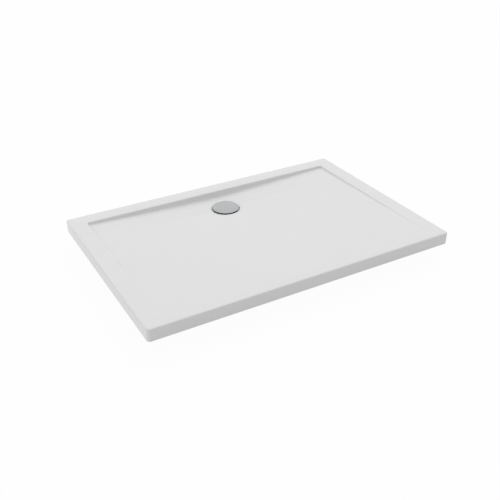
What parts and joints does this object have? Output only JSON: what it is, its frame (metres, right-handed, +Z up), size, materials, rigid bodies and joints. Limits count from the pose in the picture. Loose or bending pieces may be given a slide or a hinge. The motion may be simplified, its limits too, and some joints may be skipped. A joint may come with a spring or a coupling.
{
  "type": "shower tray",
  "caption": "Low rectangular white acrylic shower tray with a raised rim on three sides, a flush front, a round chromed waste near the back, and screw feet beneath.",
  "frame": {"origin": "on the floor under the middle of the tray", "axes": "+X along the long side, to the right seen from the flush front; +Y towards the long side with the waste; +Z up"},
  "size_m": [1.2, 0.8, 0.103],
  "materials": {
    "white_acrylic": "high gloss white sanitary acrylic",
    "fibreglass": "rough sprayed glass fibre and resin",
    "foam": "polyurethane foam",
    "chipboard": "raw chipboard",
    "galvanised_steel": "hot-dip galvanised",
    "zinc_plated_steel": "bright zinc plate",
    "black_plastic": "moulded polyamide",
    "chrome_plate": "polished chrome plate",
    "black_rubber": "moulded seal rubber",
    "white_polypropylene": "moulded polypropylene",
    "grey_polypropylene": "moulded polypropylene"
  },
  "bodies": {
    "tray": {"acrylic_shell": "white_acrylic", "fibreglass_backing": "fibreglass", "foam_core": "foam", "base_board": "chipboard", "left_rail": "galvanised_steel", "centre_rail": "galvanised_steel", "right_rail": "galvanised_steel", "rail_weld_nuts": "zinc_plated_steel", "foot_lock_nuts": "zinc_plated_steel", "rail_screws": "zinc_plated_steel", "waste_flange": "chrome_plate", "upper_seal": "black_rubber", "lower_seal": "black_rubber", "trap_body": "white_polypropylene", "outlet_seal": "black_rubber", "union_nut": "white_polypropylene"},
    "insert": {"odour_insert": "grey_polypropylene", "insert_seal_ring": "black_rubber", "hair_strainer": "grey_polypropylene"},
    "cover": {"waste_cover": "chrome_plate", "cover_carrier": "grey_polypropylene"},
    "outlet": {"outlet_pipe": "white_polypropylene"},
    "pad_front_left": {"foot_pad_front_left": "black_plastic"},
    "rod_front_left": {"foot_rod_front_left": "zinc_plated_steel"},
    "pad_back_left": {"foot_pad_back_left": "black_plastic"},
    "rod_back_left": {"foot_rod_back_left": "zinc_plated_steel"},
    "pad_front_centre": {"foot_pad_front_centre": "black_plastic"},
    "rod_front_centre": {"foot_rod_front_centre": "zinc_plated_steel"},
    "pad_middle": {"foot_pad_middle": "black_plastic"},
    "rod_middle": {"foot_rod_middle": "zinc_plated_steel"},
    "pad_front_right": {"foot_pad_front_right": "black_plastic"},
    "rod_front_right": {"foot_rod_front_right": "zinc_plated_steel"},
    "pad_back_right": {"foot_pad_back_right": "black_plastic"},
    "rod_back_right": {"foot_rod_back_right": "zinc_plated_steel"}
  },
  "joints": [
    {"name": "insert_lift", "type": "slide", "parent": "tray", "child": "insert", "axis": [0, 0, 1], "range_m": [0, 0.065]},
    {"name": "cover_lift", "type": "slide", "parent": "insert", "child": "cover", "axis": [0, 0, 1], "range_m": [0, 0.04]},
    {"name": "outlet_swing", "type": "hinge", "parent": "tray", "child": "outlet", "pos_m": [0, 0.32, 0.03], "axis": [0, 0, 1], "range_deg": [-10, 10]},
    {"name": "foot_front_left_height", "type": "slide", "parent": "tray", "child": "pad_front_left", "axis": [0, 0, -1], "range_m": [0, 0.01925]},
    {"name": "foot_front_left_turn", "type": "hinge", "parent": "pad_front_left", "child": "rod_front_left", "pos_m": [-0.4, -0.29, 0.02], "axis": [0, 0, -1], "range_deg": [0, 3961]},
    {"name": "foot_back_left_height", "type": "slide", "parent": "tray", "child": "pad_back_left", "axis": [0, 0, -1], "range_m": [0, 0.01925]},
    {"name": "foot_back_left_turn", "type": "hinge", "parent": "pad_back_left", "child": "rod_back_left", "pos_m": [-0.4, 0.29, 0.02], "axis": [0, 0, -1], "range_deg": [0, 3961]},
    {"name": "foot_front_centre_height", "type": "slide", "parent": "tray", "child": "pad_front_centre", "axis": [0, 0, -1], "range_m": [0, 0.01925]},
    {"name": "foot_front_centre_turn", "type": "hinge", "parent": "pad_front_centre", "child": "rod_front_centre", "pos_m": [0, -0.29, 0.02], "axis": [0, 0, -1], "range_deg": [0, 3961]},
    {"name": "foot_middle_height", "type": "slide", "parent": "tray", "child": "pad_middle", "axis": [0, 0, -1], "range_m": [0, 0.01925]},
    {"name": "foot_middle_turn", "type": "hinge", "parent": "pad_middle", "child": "rod_middle", "pos_m": [0, 0.03, 0.02], "axis": [0, 0, -1], "range_deg": [0, 3961]},
    {"name": "foot_front_right_height", "type": "slide", "parent": "tray", "child": "pad_front_right", "axis": [0, 0, -1], "range_m": [0, 0.01925]},
    {"name": "foot_front_right_turn", "type": "hinge", "parent": "pad_front_right", "child": "rod_front_right", "pos_m": [0.4, -0.29, 0.02], "axis": [0, 0, -1], "range_deg": [0, 3961]},
    {"name": "foot_back_right_height", "type": "slide", "parent": "tray", "child": "pad_back_right", "axis": [0, 0, -1], "range_m": [0, 0.01925]},
    {"name": "foot_back_right_turn", "type": "hinge", "parent": "pad_back_right", "child": "rod_back_right", "pos_m": [0.4, 0.29, 0.02], "axis": [0, 0, -1], "range_deg": [0, 3961]}
  ],
  "couplings": [
    {"joint": "foot_front_left_turn", "follows": "foot_front_left_height", "rad_per_m": 3590.4},
    {"joint": "foot_back_left_turn", "follows": "foot_back_left_height", "rad_per_m": 3590.4},
    {"joint": "foot_front_centre_turn", "follows": "foot_front_centre_height", "rad_per_m": 3590.4},
    {"joint": "foot_middle_turn", "follows": "foot_middle_height", "rad_per_m": 3590.4},
    {"joint": "foot_front_right_turn", "follows": "foot_front_right_height", "rad_per_m": 3590.4},
    {"joint": "foot_back_right_turn", "follows": "foot_back_right_height", "rad_per_m": 3590.4}
  ]
}
